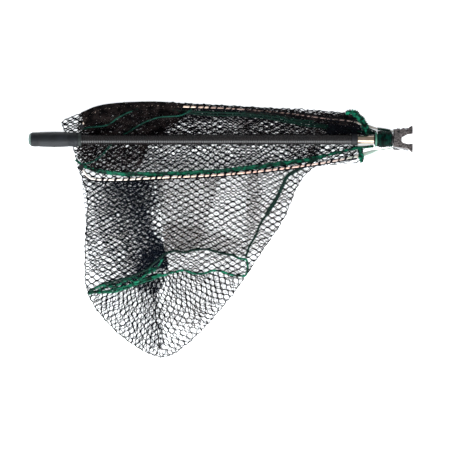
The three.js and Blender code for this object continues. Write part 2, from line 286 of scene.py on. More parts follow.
def turned(name, profile, material, sides=64, sharp=35):
    """A piece turned about the handle's centre line from (x, radius) points."""
    profile = np.asarray(profile, float)
    closed = np.allclose(profile[0], profile[-1])
    if closed:
        profile = profile[:-1]
    angle = np.arange(sides) * 2 * math.pi / sides
    points = []
    index = []
    for x, radius in profile:
        if radius < 1e-6:
            index.append(np.full(sides, len(points)))
            points.append((x, 0.0, AXIS_Z))
            continue
        index.append(len(points) + np.arange(sides))
        points.extend((x, radius * math.sin(a), AXIS_Z + radius * math.cos(a)) for a in angle)
    pairs = list(zip(index, index[1:]))
    if closed:
        pairs.append((index[-1], index[0]))
    faces = []
    for low, high in pairs:
        for j in range(sides):
            k = (j + 1) % sides
            corners = [low[j], high[j], high[k], low[k]]
            face = [c for n, c in enumerate(corners) if c not in corners[:n]]
            if len(face) > 2:
                faces.append([int(c) for c in face])
    mesh = bpy.data.meshes.new(name)
    mesh.from_pydata(row(points).tolist(), [], faces)
    face_out(mesh)
    return add_object(name, mesh, material, sharp)


def face_out(mesh):
    work = bmesh.new()
    work.from_mesh(mesh)
    bmesh.ops.recalc_face_normals(work, faces=work.faces)
    work.to_mesh(mesh)
    work.free()


def prism(corners, z0, z1):
    """A flat outline in working millimetres, raised from z0 to z1."""
    work = bmesh.new()
    face = work.faces.new([work.verts.new(row((x, y, z0))) for x, y in corners])
    grown = bmesh.ops.extrude_face_region(work, geom=[face])
    moved = [v for v in grown["geom"] if isinstance(v, bmesh.types.BMVert)]
    bmesh.ops.translate(work, verts=moved, vec=(0, 0, (z1 - z0) * MM))
    bmesh.ops.recalc_face_normals(work, faces=work.faces)
    return work


def mesh_of(name, work):
    mesh = bpy.data.meshes.new(name)
    work.to_mesh(mesh)
    work.free()
    return mesh


def bevelled_plate(name, corners, z0, z1, bevel, material):
    """A flat plate with rounded edges."""
    work = prism(corners, z0, z1)
    bmesh.ops.bevel(
        work, geom=list(work.edges), offset=bevel * MM, segments=3, affect="EDGES", profile=0.5
    )
    return add_object(name, mesh_of(name, work), material, 40)


def cut_through(piece, corners, z0, z1):
    """Cuts a straight window through a piece."""
    cutter = bpy.data.objects.new("window", mesh_of("window", prism(corners, z0, z1)))
    bpy.context.scene.collection.objects.link(cutter)
    boolean = piece.modifiers.new("window", "BOOLEAN")
    boolean.object = cutter
    boolean.operation = "DIFFERENCE"
    boolean.solver = "EXACT"
    bpy.context.view_layer.update()
    shape = bpy.data.meshes.new_from_object(
        piece.evaluated_get(bpy.context.evaluated_depsgraph_get()))
    piece.modifiers.clear()
    piece.data = shape
    bpy.data.objects.remove(cutter)


# ---- Which body each piece rides with, if any, and which CAD nodes it stands for ----
def label(nodes):
    if nodes:
        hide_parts(*nodes)


def ride_with(piece, body, slot, *nodes):
    """The piece moves with one body."""
    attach(piece, body)
    label(nodes)


def blend_sack(piece, slot, *nodes):
    """The piece, which goes from the lower arm at its top to the hoop at the sack's foot, has
    its place baked into its mesh and rides with no body.
    """
    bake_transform(piece)
    label(nodes)


def blend_mouth(piece, side, slot, *nodes):
    """The piece, which goes from the hoop, at the handle's line, to an arm, has its place baked
    into its mesh and rides with no body.
    """
    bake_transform(piece)
    label(nodes)


# ---- Materials ----
NETTINGS = {                  # dark, light, and the noise that they start and end at
    "netting": ((0.0006, 0.0007, 0.001), (0.0018, 0.0021, 0.0034)),
    "netting_bunch": ((0.0005, 0.0004, 0.0005), (0.011, 0.008, 0.0075), 0.42, 0.72),
    # the sack's lower wall, brown rather than black: painted shade that dims the cells above it
    "netting_low": ((0.016, 0.012, 0.01), (0.04, 0.03, 0.026)),
    "netting_fold": ((0.0007, 0.0013, 0.0026), (0.0022, 0.004, 0.0075)),
    # netting_shade: dark brown netting under the mouth's walls, painted shade that darkens their
    # cells
    "netting_shade": ((0.004, 0.003, 0.0026), (0.013, 0.009, 0.008)),
    # fine brown netting deep in the sack: partly deeper netting, partly painted shade in the
    # cells
    "netting_back": ((0.014, 0.0085, 0.0065), (0.045, 0.029, 0.022)),
}
CORDS = {                     # dark, light, patches per metre, shine, noise start and end
    "green_cord": ((0.0002, 0.004, 0.003), (0.003, 0.12, 0.062), 170, 0.2, 0.42, 0.66),
    "binding_cord": ((0.0002, 0.002, 0.0015), (0.006, 0.12, 0.066), 170, 0.04, 0.45, 0.66),
    "whipping_cord": ((0.0001, 0.001, 0.0008), (0.0003, 0.012, 0.008), 160, 0.04),
    "thin_cord": ((0.0003, 0.01, 0.007), (0.0015, 0.05, 0.032)),
    # shaded_cord: the green cord darkened as painted shade, for the upper rim, the seam and the
    # ring's far half
    "shaded_cord": ((0.0002, 0.003, 0.0022), (0.0004, 0.016, 0.01)),
}
RUBBERS = {                   # dark and light
    "black_plastic": ((0.001, 0.001, 0.0014), (0.003, 0.003, 0.004)),
    "nylon": ((0.55, 0.57, 0.5), (0.68, 0.7, 0.64)),
    "grip_rubber": ((0.0012, 0.0016, 0.0022), (0.0032, 0.0042, 0.0058)),
    # cap_rubber: the cap's grey-green, made paler as a painted highlight
    "cap_rubber": ((0.05, 0.078, 0.07), (0.09, 0.13, 0.115)),
    "lip_rubber": ((0.004, 0.006, 0.0055), (0.01, 0.014, 0.013)),
    "pale_green": ((0.02, 0.075, 0.05), (0.035, 0.11, 0.075)),
}
METALS = {                    # dark, light, lowest and highest roughness, grain
    "cast_grey": ((0.03, 0.027, 0.027), (0.2, 0.175, 0.17), 0.38, 0.6, (1, 1, 1), 300, 0.0003),
    # polished_tube: its warm champagne tint is a painted reflection of warm surroundings
    "polished_tube": ((0.3, 0.215, 0.155), (0.42, 0.33, 0.26), 0.12, 0.26, (1, 12, 12), 60),
    "steel": ((0.5, 0.5, 0.5), (0.75, 0.76, 0.77), 0.2, 0.35),
    "dark_steel": ((0.01, 0.01, 0.01), (0.04, 0.04, 0.04), 0.3, 0.5),
}
# Arm colours from the tips to the roots are painted reflections: warm and pink along the bars,
# green at the roots from the whipping.
ARM_METALS = {                # colours from the tips to the roots
    "arm_metal": ([
        (0.0, (0.58, 0.54, 0.5)), (0.3, (0.56, 0.45, 0.36)), (0.62, (0.5, 0.31, 0.25)),
        (0.86, (0.34, 0.27, 0.24)), (1.0, (0.2, 0.26, 0.22))],),
    # the upper arm's copy darkens from its middle to the root: painted shade
    "arm_metal_upper": ([
        (0.0, (0.56, 0.46, 0.38)), (0.38, (0.5, 0.38, 0.3)), (0.48, (0.22, 0.145, 0.12)),
        (0.88, (0.17, 0.12, 0.11)), (1.0, (0.2, 0.2, 0.17))],),
}


def shader_of(material):
    return material.node_tree.nodes["Principled BSDF"]


def node(owner, kind, inputs=None, **settings):
    """A new shader node of a material or of the sky."""
    made = owner.node_tree.nodes.new(kind)
    for key, value in settings.items():
        setattr(made, key, value)
    for key, value in (inputs or {}).items():
        made.inputs[key].default_value = value
    return made


def link(owner, source, target):
    owner.node_tree.links.new(source, target)


def new_material(name, color, roughness, metallic=0.0, specular=0.5):
    material = bpy.data.materials.new(name)
    material.use_nodes = True
    look = {"Base Color": (*color, 1), "Roughness": roughness, "Metallic": metallic,
            "Specular IOR Level": specular}
    for key, value in look.items():
        shader_of(material).inputs[key].default_value = value
    return material


def object_noise(material, scale, detail=3.0, stretch=(1, 1, 1)):
    """Noise in the row frame; scale is in features per metre."""
    where = node(material, "ShaderNodeTexCoord")
    mapping = node(material, "ShaderNodeMapping", {"Scale": stretch})
    noise = node(material, "ShaderNodeTexNoise", {"Scale": scale, "Detail": detail})
    link(material, where.outputs["Object"], mapping.inputs["Vector"])
    link(material, mapping.outputs["Vector"], noise.inputs["Vector"])
    return noise


def color_by(material, source, stops):
    """Gives the material a colour for each value of source. A stop is a value and a colour."""
    ramp = node(material, "ShaderNodeValToRGB")
    elements = ramp.color_ramp.elements
    for end in (0, -1):
        elements[end].position = stops[end][0]
        elements[end].color = (*stops[end][1], 1)
    for place, color in stops[1:-1]:
        elements.new(place).color = (*color, 1)
    link(material, source, ramp.inputs["Fac"])
    link(material, ramp.outputs["Color"], shader_of(material).inputs["Base Color"])


def vary_color(material, noise, dark, light, low=0.35, high=0.65):
    color_by(material, noise.outputs["Fac"], [(low, dark), (high, light)])


def vary_roughness(material, noise, low, high):
    spread = node(material, "ShaderNodeMapRange", {"To Min": low, "To Max": high})
    link(material, noise.outputs["Fac"], spread.inputs["Value"])
    link(material, spread.outputs["Result"], shader_of(material).inputs["Roughness"])


def add_bump(material, noise, distance):
    bump = node(material, "ShaderNodeBump", {"Strength": 1.0, "Distance": distance})
    link(material, noise.outputs["Fac"], bump.inputs["Height"])
    link(material, bump.outputs["Normal"], shader_of(material).inputs["Normal"])


def netting_material(name, dark, light, low=0.35, high=0.65):
    material = new_material(name, dark, 0.6, specular=0.03)
    vary_color(material, object_noise(material, 90), dark, light, low, high)
    add_bump(material, object_noise(material, 2600, 2), 0.0003)
    return material


def cord_material(name, dark, light, patches=260, shine=0.2, low=0.4, high=0.6):
    material = new_material(name, dark, 0.42, specular=shine)
    vary_color(material, object_noise(material, patches, 4), dark, light, low, high)
    add_bump(material, object_noise(material, 3500, 3), 0.0004)
    return material


def rubber_material(name, dark, light):
    material = new_material(name, dark, 0.55, specular=0.25)
    vary_color(material, object_noise(material, 60), dark, light)
    vary_roughness(material, object_noise(material, 240), 0.42, 0.68)
    add_bump(material, object_noise(material, 3000, 4), 0.00015)
    return material


def metal_material(name, dark, light, low, high, stretch=(1, 1, 1), scale=400, bump=0.00004):
    material = new_material(name, light, low, metallic=1.0)
    grain = object_noise(material, scale, 4, stretch)
    vary_color(material, grain, dark, light)
    vary_roughness(material, grain, low, high)
    add_bump(material, grain, bump)
    return material


def arm_material(name, stops):
    """Satin metal whose tint changes along the handle: painted reflections, and on the upper arm
    painted shade.
    """
    material = new_material(name, (0.4, 0.33, 0.28), 0.42, metallic=0.6)
    where = node(material, "ShaderNodeTexCoord")
    split = node(material, "ShaderNodeSeparateXYZ")
    noise = object_noise(material, 45, 4)
    mix = node(material, "ShaderNodeMath", {1: 0.22}, operation="MULTIPLY_ADD")
    spread = node(material, "ShaderNodeMapRange", {"From Min": -0.16, "From Max": 0.4})
    link(material, where.outputs["Object"], split.inputs["Vector"])
    link(material, noise.outputs["Fac"], mix.inputs[0])
    link(material, split.outputs["X"], mix.inputs[2])
    link(material, mix.outputs["Value"], spread.inputs["Value"])
    color_by(material, spread.outputs["Result"], stops)
    add_bump(material, object_noise(material, 700, 3), 0.0001)
    return material


def tube_material(name):
    """Black, with a satin sheen that is drawn out along the tube."""
    material = new_material(name, (0.004, 0.004, 0.006), 0.3)
    vary_color(material, object_noise(material, 300, 3, (0.3, 1, 1)),
               (0.0008, 0.0008, 0.001), (0.004, 0.0024, 0.0024))
    vary_roughness(material, object_noise(material, 500), 0.2, 0.34)
    return material


def make_materials():
    made = {"black_tube": tube_material("black_tube")}
    kinds = [(netting_material, NETTINGS), (cord_material, CORDS), (rubber_material, RUBBERS),
             (metal_material, METALS), (arm_material, ARM_METALS)]
    for kind, looks in kinds:
        for name, look in looks.items():
            made[name] = kind(name, *look)
    return made


# ---- Netting ----
def zigzag(row_index, u0, u1, samples=8):
    """One knotless strand in cloth millimetres, running along u."""
    period = 3 * SIDE
    first = math.floor(u0 / period)
    count = (math.ceil(u1 / period) - first) * samples + 1
    u = (first + np.arange(count) / samples) * period
    shift = 0.5 * period * (row_index % 2)
    wave = np.clip(1.75 * np.cos(2 * math.pi * (u + shift) / period), -1, 1)
    half = ROW / 2 - 0.85 * STRAND_R
    v = (row_index + 0.5) * ROW - half * wave
    return np.column_stack([u, v])


def inside(points, polygon):
    """True for each point that lies in the polygon."""
    x, y = points[:, 0:1], points[:, 1:2]
    x0, y0 = polygon[:, 0], polygon[:, 1]
    x1, y1 = np.roll(x0, -1), np.roll(y0, -1)
    crosses = (y0 > y) != (y1 > y)
    edge_x = x0 + (y - y0) / np.where(y1 == y0, 1e-9, y1 - y0) * (x1 - x0)
    return (crosses & (x < edge_x)).sum(axis=1) % 2 == 1


def nearest_on(points, polygon):
    """The nearest spot on the polygon's edge to each point, and how far it is."""
    a, b = polygon, np.roll(polygon, -1, axis=0)
    d = b - a
    t = ((points[:, None] - a) * d).sum(-1) / np.maximum((d * d).sum(-1), 1e-9)
    spots = a + np.clip(t, 0, 1)[..., None] * d
    gap = np.linalg.norm(points[:, None] - spots, axis=-1)
    best = gap.argmin(axis=1)
    every = np.arange(len(points))
    return spots[every, best], gap[every, best]


def add_netting(builder, polygon, to_cloth, to_world, height, radius=STRAND_R, sides=5,
                samples=8):
    """Fills a flat polygon with knotless netting.

    to_cloth turns flat world points into cloth coordinates, to find what has to be covered;
    to_world turns cloth points (u, v) into flat world points; height gives z."""
    polygon = np.asarray(polygon, float)
    cloth = to_cloth(polygon)
    u0, v0 = cloth.min(axis=0) - 3 * CELL
    u1, v1 = cloth.max(axis=0) + 3 * CELL
    for index in range(math.floor(v0 / ROW), math.ceil(v1 / ROW)):
        strand = to_world(zigzag(index, u0, u1, samples))
        keep = inside(strand, polygon)
        near = ~keep
        if near.any():
            spots, gap = nearest_on(strand[near], polygon)
            close = gap < CELL / 2
            places = np.flatnonzero(near)[close]
            strand[places] = spots[close]
            keep[places] = True
        edges = np.flatnonzero(np.diff(np.concatenate([[0], keep.astype(int), [0]])))
        for start, stop in zip(edges[::2], edges[1::2]):
            run = strand[start:stop]
            moved = np.linalg.norm(np.diff(run, axis=0), axis=1) > 0.15
            run = run[np.concatenate([[True], moved])]
            if len(run) < 4:
                continue
            z = height(run[:, 0], run[:, 1]) + 0.25 * STRAND_R * np.sin(np.arange(len(run)))
            builder.tube(np.column_stack([run, z]), radius, sides)


def add_layers(builder, layers, seed, height, first=0.0, step=0.0, least=0.0, **strands):
    """Flat cloths lying on each other. A layer is its polygon, and its cloth's angle and scale.

    Layer n lies first + step * n above height, and nowhere below least."""
    for n, (polygon, angle, scale) in enumerate(layers):
        def level(x, y, n=n):
            return np.maximum(height(x, y) + first + step * n, least)
        add_netting(builder, polygon, *turned_cloth(angle, scale, seed=seed + n), level,
                    **strands)


def turned_cloth(angle, scale=(1, 1), centre=(300, -100), warp=2.2, seed=1):
    """A flat cloth turned by angle degrees, stretched by scale and slightly uneven."""
    a = math.radians(angle)
    spin = np.array([[math.cos(a), math.sin(a)], [-math.sin(a), math.cos(a)]])
    scale = np.asarray(scale, float)
    centre = np.asarray(centre, float)

    def to_cloth(points):
        return ((points - centre) @ spin.T) / scale

    def to_world(cloth):
        p = (cloth * scale) @ spin + centre
        dx = warp * ripple(p[:, 0], p[:, 1], 83, seed) + 0.6 * warp * ripple(
            p[:, 0], p[:, 1], 37, seed + 5)
        dy = warp * ripple(p[:, 0], p[:, 1], 71, seed + 2) + 0.6 * warp * ripple(
            p[:, 0], p[:, 1], 33, seed + 7)
        return p + np.column_stack([dx, dy])

    return to_cloth, to_world


def fan_cloth(centre, reach, seed=3):
    """Cloth that radiates from a centre: u runs outwards and v runs round.

    Its cells have their full width at the distance reach."""
    centre = np.asarray(centre, float)

    def to_cloth(points):
        d = points - centre
        angle = np.arctan2(d[:, 1], d[:, 0])
        return np.column_stack([np.linalg.norm(d, axis=1), angle * reach])

    def to_world(cloth):
        radius, angle = cloth[:, 0], cloth[:, 1] / reach
        angle = angle + 0.02 * ripple(radius, angle * reach, 60, seed)
        return centre + radius[:, None] * np.column_stack([np.cos(angle), np.sin(angle)])

    return to_cloth, to_world


def outline(points, depth=0.9, step=2.2):
    """A smooth edge with the small scallops of the netting's cells."""
    edge = smooth_route(points, step)
    along = np.arange(len(edge)) * step
    push = depth * (np.sin(along * 2 * math.pi / 11.3) + 0.7 * np.sin(along * 0.21))
    return shifted(edge, push)


def arm_line_y(x):
    """The lower arm's y at x."""
    line = smooth_route(LOWER_ARM, 4.0)[::-1]
    return np.interp(x, line[:, 0], line[:, 1])


def ground(x, y):
    return 0 * x


def floor_height(x, y):
    return 1.6 + 0.7 * ripple(x, y, 120, 2)


def top_height(x, y):
    """The sack's upper wall: high at the arm, low towards the bottom of the sack."""
    drop = np.clip((arm_line_y(x) - y) / 90.0, 0, 1)
    return 12.5 - 6.5 * drop * (2 - drop) + 1.0 * ripple(x, y, 95, 4)


def mouth_height(x, y):
    """The netting in the mouth: under the handle it is low, at the arms it is high."""
    away = np.clip((np.abs(y) - 12) / 45.0, 0, 1)
    return 2.2 + 9.5 * away ** 2 + 0.8 * ripple(x, y, 80, 6)


def bunch_height(x, y):
    return np.minimum(mouth_height(x, y), 3.0) + 9.0 * np.clip((np.abs(y) - 16) / 24, 0, 1)


def arm_side(route, start, stop):
    """Part of an arm's line between two x values, from the head to the tip."""
    line = smooth_route(route, 5.0)
    return line[(line[:, 0] <= start) & (line[:, 0] >= stop)]


def sack_parts():
    """The sack's outline above and below its ring of cord, and the mouth's side of it."""
    edge = outline(SACK_EDGE)
    sack_edge = edge[edge[:, 1] < -50]
    mouth = arm_side(LOWER_ARM, 525, 104)
    ring = smooth_route(RING_CORD, 5.0)
    ring = ring[: int(len(ring) * 0.5)]
    ring = ring[(ring[:, 0] > 112) & (ring[:, 0] < 398)]
    left, right = sack_edge[:, 0] <= 200, sack_edge[:, 0] > 200
    above = np.vstack([
        sack_edge[left & (sack_edge[:, 1] > -286)], ring,
        sack_edge[right & (sack_edge[:, 1] > -250)], mouth,
    ])
    below = np.vstack([
        sack_edge[(left & (sack_edge[:, 1] < -282)) | (right & (sack_edge[:, 1] < -250))],
        ring[::-1],
    ])
    return sack_edge, above, below


def foot_halves(below):
    """The sack's foot on each side of its middle crease, from the ring to the toe."""
    heel = np.array([(224, -222), (240, -384)], float)
    split = heel[0] + (below[:, 1:2] - heel[0, 1]) / (heel[1, 1] - heel[0, 1]) * (
        heel[1] - heel[0])
    toe = np.argmin(np.abs(below[:, 0] - 240) + 9 * (below[:, 1] > -300))
    offset = below[:, 0] - split[:, 0]
    right, left = below[offset > 0], below[offset < 0]
    first = np.argmax(np.linalg.norm(np.diff(right, axis=0, append=right[:1]), axis=1))
    return (np.vstack([np.roll(right, -first - 1, axis=0), [heel[0]], split[toe]]),
            np.vstack([left, split[toe]]))


def build_sack(mats):
    """The sack's two walls. Its folds and its inside are pieces of their own."""
    sack_edge, above, below = sack_parts()
    right, left = foot_halves(below)

    low = Builder()
    add_netting(low, above, *turned_cloth(-1, (1.0, 1.0), seed=2), floor_height, radius=FINE_R)
    add_layers(low, [(right, -45, (1, 0.9)), (left, 58, (0.85, 0.75))], 5, floor_height,
               radius=FINE_R)
    low.tube(with_height(sack_edge, floor_height), 0.8, 5)
    # The lower wall's brown colour is painted shade in the sack's cells.
    blend_sack(low.make("sack_lower_netting", mats["netting_low"]), "netting",
               "net_lower_panel")

    top = Builder()
    add_netting(top, above, *turned_cloth(-4, seed=1), top_height)
    add_netting(top, below, *fan_cloth((226, -135), 175, seed=3), top_height)
    blend_sack(top.make("sack_upper_netting", mats["netting"]), "netting", "net_upper_panel",
               "net_side_seam")


def build_sack_folds(mats):
    """Netting that doubles back inside the sack, down its left side and at its foot."""
    folds = [                 # outer side, how far the crease moves over, angle, scale
        ([(96, -74), (102, -120), (108, -190), (118, -240), (150, -262)], 0, 14, (0.75, 0.8)),
        ([(116, -76), (124, -140), (144, -205), (180, -256)], -16, -9, (0.7, 0.8)),
        ([(138, -77), (150, -140), (178, -200), (206, -250)], 7, 27, (0.9, 1)),
        ([(156, -77), (176, -120), (196, -165), (216, -245)], -26, -22, (0.8, 0.9)),
        ([(176, -78), (192, -120), (210, -165), (232, -235)], -8, 41, (0.8, 0.9)),
    ]
    layers = []
    for side, shift, angle, scale in folds:
        crease = [(258, -232), (252, -214), (246, -190), (238 + shift, -160),
                  (233 + shift, -135), (240 + shift, -110), (236 + shift, -74)]
        part = np.vstack([smooth_route(side, 5.0), smooth_route(crease, 5.0)])
        layers.append((part, angle, scale))
    tuck = closed([(150, -276), (196, -254), (212, -205), (250, -205), (256, -240),
                   (246, -272), (228, -286), (190, -270)])
    feet = [
        (closed([(122, -296), (190, -262), (236, -250), (246, -384), (206, -384),
                 (152, -340)]), 48, (1.0, 1.0)),
        (closed([(200, -276), (232, -262), (250, -380), (228, -384)]), 66, (0.9, 0.8)),
    ]
    fold = Builder()
    add_layers(fold, layers, 4, floor_height, 1.2, 0.9, radius=FINE_R)
    add_layers(fold, [(tuck, 70, (0.9, 0.7)), (tuck, 28, (0.9, 0.6))], 40, floor_height,
               2.2, 0.8, radius=FINE_R)
    add_layers(fold, feet, 50, floor_height, 1.4, 0.6, radius=0.42)
    blend_sack(fold.make("sack_folded_netting", mats["netting_fold"]), "netting")


def build_sack_back(mats):
    """Finer brown netting deep in the sack, seen through the cells of the walls: partly deeper
    netting, partly painted shade that darkens those cells.
    """
    parts = [
        ([(238, -74), (300, -68), (352, -66), (330, -140), (316, -200), (252, -210)], 40),
        ([(238, -74), (420, -60), (430, -110), (396, -214), (300, -200), (252, -210)], -31),
        ([(250, -150), (330, -170), (398, -190), (396, -214), (300, -200), (252, -206)], 15),
        ([(262, -262), (250, -212), (300, -206), (350, -212), (392, -224), (386, -252)], 12),
        ([(240, -330), (262, -262), (386, -252), (360, -290), (300, -350)], 70),
        ([(404, -66), (516, -44), (496, -80), (470, -140), (430, -200), (402, -214)], 22),
    ]
    back = Builder()
    layers = [(closed(part, 5.0), angle, (0.55, 0.55)) for part, angle in parts]
    add_layers(back, layers, 14, floor_height, 1.2, 0.8, radius=0.36, sides=4)
    blend_sack(back.make("sack_back_netting", mats["netting_back"]), "netting")


def build_mouth(mats):
    """The two walls of the mouth, one on each side of the handle."""
    upper = np.vstack([outline(UPPER_EDGE), [(80, 0)], [(608, 0)]])
    lower_edge = outline(SACK_EDGE)
    lower_left = lower_edge[(lower_edge[:, 0] < 104) & (lower_edge[:, 1] > -70)]
    lower_arm = arm_side(LOWER_ARM, 606, 104)[::-1]
    lower = np.vstack([[(80, 0)], lower_left, lower_arm, [(608, 0)]])
    walls = {
        "upper": [(upper, 2, (1, 0.9)), (upper, -2, (1.0, 0.94))],
        "lower": [(lower, 2, (1, 1)), (lower, -1.5, (1.0, 1.0))],
    }
    for side, layers in walls.items():
        net = Builder()
        add_layers(net, layers, 3, mouth_height, 0.0, -1.2, 1.0)
        blend_mouth(net.make(f"mouth_{side}_netting", mats["netting"]), side, "netting")


def build_mouth_back(mats):
    """Finer netting under the mouth's walls, dark brown so that it darkens their cells as
    painted shade, and the netting drawn in at the throat.
    """
    backs = {
        "upper": [
            ([(215, 60), (470, 50), (600, 40), (612, 18), (600, 2), (215, 2)], 25, (0.9, 0.7)),
            ([(215, 62), (460, 52), (598, 46), (612, 20), (480, 3), (215, 2)], -14, (1, 0.62)),
            ([(390, 52), (600, 44), (612, 18), (600, 2), (400, 2)], 9, (0.9, 0.55)),
            ([(460, 48), (600, 44), (612, 18), (600, 2), (470, 2)], -28, (0.9, 0.55)),
            ([(215, 24), (400, 22), (470, 4), (215, 2)], 41, (0.9, 0.6)),
            ([(236, 66), (330, 62), (420, 57), (470, 50), (430, 38), (340, 36), (240, 30)], 12,
             (0.8, 0.6)),
            ([(236, 66), (330, 62), (390, 58), (380, 44), (300, 40), (240, 34)], -30,
             (0.8, 0.6)),
        ],
        "lower": [
            ([(205, -2), (520, -2), (530, -38), (420, -56), (300, -64), (205, -66)], 24,
             (0.9, 0.9)),
            ([(205, -2), (500, -2), (510, -40), (420, -56), (300, -64), (205, -66)], -33,
             (0.9, 0.9)),
            ([(470, -2), (546, -3), (540, -34), (490, -46)], 40, (0.6, 0.6)),
            ([(514, -14), (534, -14), (532, -36), (512, -38)], -10, (0.5, 0.5)),
            ([(516, -14), (532, -14), (530, -36), (514, -38)], 35, (0.5, 0.5)),
        ],
    }
    fineness = 0.7
    for side, parts in backs.items():
        net = Builder()
        layers = [(closed(part), angle, (fineness * wide, fineness * deep))
                  for part, angle, (wide, deep) in parts]
        add_layers(net, layers, 20, mouth_height, -2.0, -0.7, 0.9, radius=0.5, sides=4,
                   samples=6)
        piece = net.make(f"mouth_{side}_back_netting", mats["netting_shade"])
        blend_mouth(piece, side, "netting")

    strip = Builder()
    tail = smooth_route([(618, -30), (616, -41), (585, -44), (555, -47), (522, -50)], 3.0)
    throat = np.vstack([tail, arm_side(LOWER_ARM, 522, 516)[::-1],
                        arm_side(LOWER_ARM, 620, 522)[::-1]])
    add_layers(strip, [(throat, 7, (1.2, 0.55)), (throat, -3, (1.1, 0.6))], 5, ground,
               11.5, -1.0, radius=0.5)
    inner = closed([(525, -12), (612, -12), (616, -27), (584, -34), (530, -44)])
    add_layers(strip, [(inner, 12, (1.2, 0.5))], 9, mouth_height, 1.0, radius=0.5)
    ride_with(strip.make("throat_netting", mats["netting"]), "arm_lower", "netting")


def build_bunch(mats):
    """The slack netting gathered at the front of the mouth, many walls deep."""
    upper = [(94, 46), (132, 62), (224, 68), (300, 63), (282, 40), (250, 14), (226, 0),
             (94, 0), (90, 22)]
    lower = [(84, 0), (222, 0), (214, -30), (198, -58), (150, -62), (112, -56), (92, -36)]
    plans = {                 # corners, and each wall's angle and squeeze
        "upper": (upper, [(34, 0.5), (8, 0.62), (-24, 0.7), (52, 0.55), (20, 0.66), (-8, 0.5)]),
        "lower": (lower, [(34, 0.6), (-12, 0.6), (58, 0.7)]),
    }
    anchor = np.array([185.0, 0.0])
    for side, (corners, cloths) in plans.items():
        net = Builder()
        polygon = closed(corners, 5.0)
        layers = [(anchor + (polygon - anchor) * np.array([1 - 0.055 * n, 1.0]), angle,
                   (1, squeeze)) for n, (angle, squeeze) in enumerate(cloths)]
        add_layers(net, layers, 10, bunch_height, 0.0, 0.8, sides=4, samples=6)
        piece = net.make(f"bunched_{side}_netting", mats["netting_bunch"])
        blend_mouth(piece, side, "netting")


def build_hem_cover(mats):
    """Netting that lies over the upper arm, near its tip and near the throat."""
    covers = [                # brim, under side, first seed, strand, each wall's cloth
        ([(98, 49), (132, 62), (224, 69), (290, 65)],
         [(275, 58), (224, 56), (150, 46), (104, 26)], 30, 0.8,
         [(12, 0.5), (-16, 0.5), (40, 0.5), (64, 0.6)]),
        ([(400, 60), (470, 55), (540, 49), (598, 42)],
         [(606, 24), (560, 30), (480, 42), (400, 50)], 34, 0.6, [(9, 0.6)]),
    ]
    cover = Builder()
    for brim, under, seed, radius, cloths in covers:
        part = np.vstack([smooth_route(brim, 3.0), smooth_route(under, 3.0)])
        layers = [(part, angle, (1, squeeze)) for angle, squeeze in cloths]
        add_layers(cover, layers, seed, ground, 19.6, 0.9, radius=radius)
    piece = cover.make("hem_cover_netting", mats["netting_bunch"])
    ride_with(piece, "arm_upper", "netting")


def build_hems(mats):
    """The netting's loops round each arm, and the strands that run along it."""
    runs = {"upper": (3.3, 4.6, -3.2), "lower": (-3.4, -2.6)}
    phase = np.linspace(-0.5 * math.pi, 1.5 * math.pi, 22)
    for side, route in (("upper", UPPER_ARM), ("lower", LOWER_ARM)):
        hem = Builder()
        line = smooth_route(route, 1.0)
        line = with_height(line[(line[:, 0] < 606) & (line[:, 0] > 104)], ARM_Z)
        sideways = side_and_top(line)[0]
        every = np.arange(len(line))
        start = 3.0
        count = 0
        while start < len(line) - 16:
            lean = 9.0 + 2.0 * math.sin(count * 2.3)
            for strand in range(2 + count % 2):
                index = start + strand * 1.5 + (phase / (2 * math.pi) + 0.25) * lean
                spot = np.stack([np.interp(index, every, line[:, k]) for k in range(3)], 1)
                out = np.stack([np.interp(index, every, sideways[:, k]) for k in range(3)], 1)
                ring = spot + out * (3.2 * np.cos(phase))[:, None]
                ring[:, 2] += 2.4 * np.sin(phase)
                hem.tube(ring, 0.72, 5, up=unit(ring - spot))
            start += 12.5 + 2.5 * math.sin(count * 1.7)
            count += 1
        for offset in runs[side]:
            path = line + sideways * offset
            path[:, 2] += 0.8 * np.sin(every * 0.31 + offset)
            path[:, :2] += 0.5 * np.sin(every * 0.43 + 2 * offset)[:, None]
            hem.tube(path[::2], 0.8, 5)
        piece = hem.make(f"{side}_hem_loops", mats["netting"])
        ride_with(piece, f"arm_{side}", "netting", f"{side}_net_hem")


# ---- Cords ----
def laid_cord(builder, path, radius, plies=3):
    """A cord of three plies twisted round its path, one turn in 5.5 times its radius."""
    path = even_steps(np.asarray(path, float), radius * 5.5 / LAY_STEPS)
    turn = np.arange(len(path)) * 2 * math.pi / LAY_STEPS
    for ply in range(plies):
        radial = around(path, turn + ply * 2 * math.pi / plies)
        builder.tube(path + 0.52 * radius * radial, 0.5 * radius, 6, up=radial)


def lay_cord(builder, route, height, lift=0.0, radius=CORD_R, wander=0.5, seed=3):
    """A laid cord on the netting, lift above height, never in the ground."""
    path = with_height(smooth_route(route, 2.0), lambda x, y: height(x, y) + lift)
    wobble = wander * ripple(path[:, 0], path[:, 1], 24, seed)
    path[:, 1] += wobble
    path[:, 2] = np.maximum(path[:, 2] + 0.4 * wobble, 1.05 * radius)
    laid_cord(builder, path, radius)


def beside(route, gap, seed=1):
    """A route beside another one, wandering a little."""
    route = smooth_route(route, 6.0)
    return shifted(route, gap + 0.9 * ripple(route[:, 0], route[:, 1], 46, seed))


